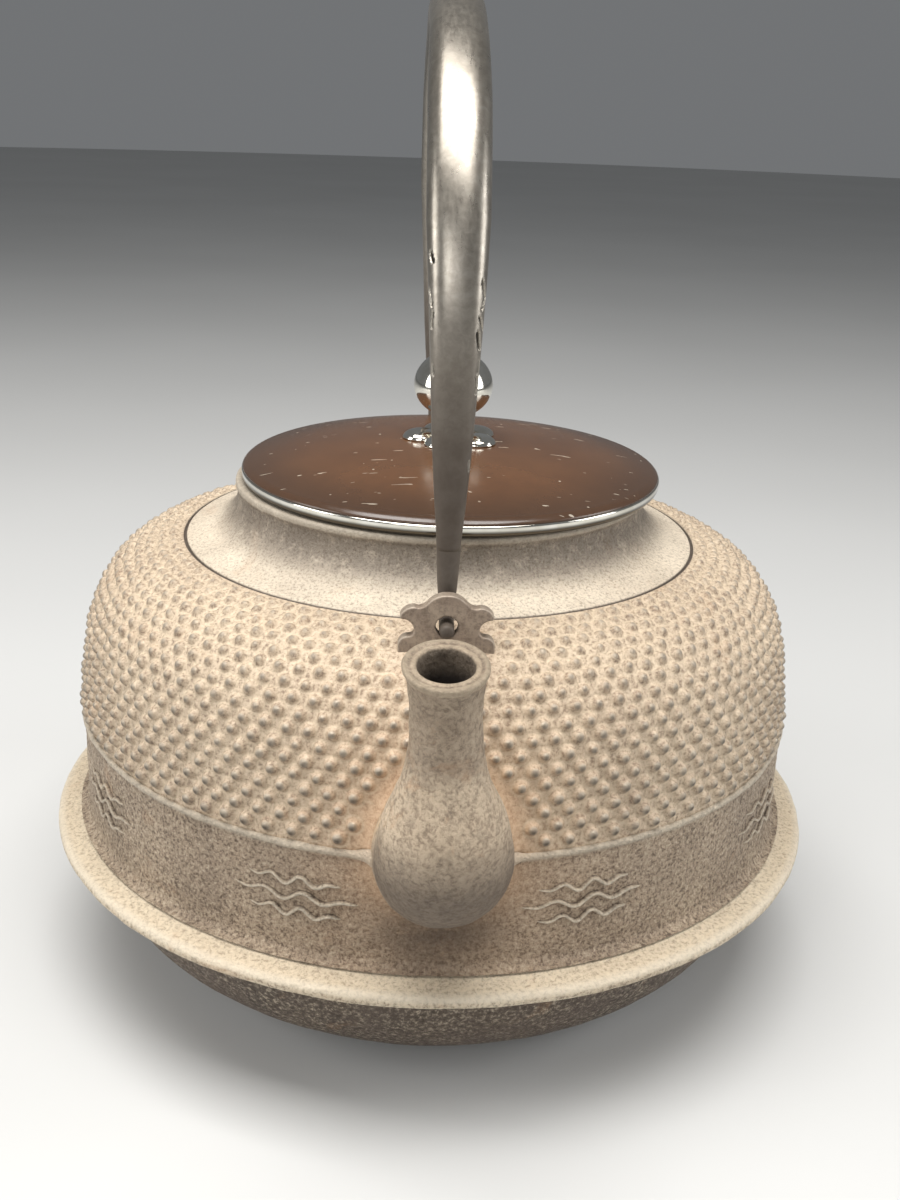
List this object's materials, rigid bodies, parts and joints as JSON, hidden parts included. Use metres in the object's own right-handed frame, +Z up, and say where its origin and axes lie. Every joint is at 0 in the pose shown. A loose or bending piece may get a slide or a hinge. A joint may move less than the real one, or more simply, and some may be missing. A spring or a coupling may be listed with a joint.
{
  "type": "cast iron tea kettle",
  "caption": "Round cast iron kettle with studded shoulder, brazier flange, upright spout, lift-off bronze lid with ball knob, and swinging hollow iron bail.",
  "frame": {"origin": "centre of the flat base, on the surface the kettle stands on", "axes": "+Z up along the kettle's axis, -Y towards the spout, +X across the bail"},
  "size_m": [0.186, 0.2043, 0.2239],
  "materials": {
    "kettle_iron": "rough casting under a sandy tan patina",
    "spout_iron": "fine casting, mottled",
    "lug_iron": "smooth casting, worn edges",
    "lid_bronze": "semi-gloss brown patina",
    "silver": "polished silver",
    "pin_brass": "satin",
    "bail_iron": "satin wrought iron"
  },
  "bodies": {
    "kettle": {"bowl": "kettle_iron", "flange": "kettle_iron", "wall": "kettle_iron", "shoulder": "kettle_iron", "neck": "kettle_iron", "spout": "spout_iron", "lug_front": "lug_iron", "lug_rear": "lug_iron"},
    "lid": {"lid_disc": "lid_bronze", "lid_rim": "silver", "lid_collar": "lid_bronze", "knob_seat": "silver"},
    "knob": {"knob_ball": "silver", "knob_pin": "pin_brass", "knob_washer": "pin_brass"},
    "bail": {"bail_tube": "bail_iron", "bail_hook_front": "bail_iron", "bail_hook_rear": "bail_iron"}
  },
  "joints": [
    {"name": "lid_lift", "type": "slide", "parent": "kettle", "child": "lid", "axis": [0, 0, 1], "range_m": [0, 0.045]},
    {"name": "knob_turn", "type": "hinge", "parent": "lid", "child": "knob", "pos_m": [0.0022, 0, 0.1389], "axis": [0, 0, 1], "continuous": true},
    {"name": "bail_swing", "type": "hinge", "parent": "kettle", "child": "bail", "pos_m": [0, 0, 0.10513], "axis": [0, 1, 0], "range_deg": [-86, 86]}
  ]
}
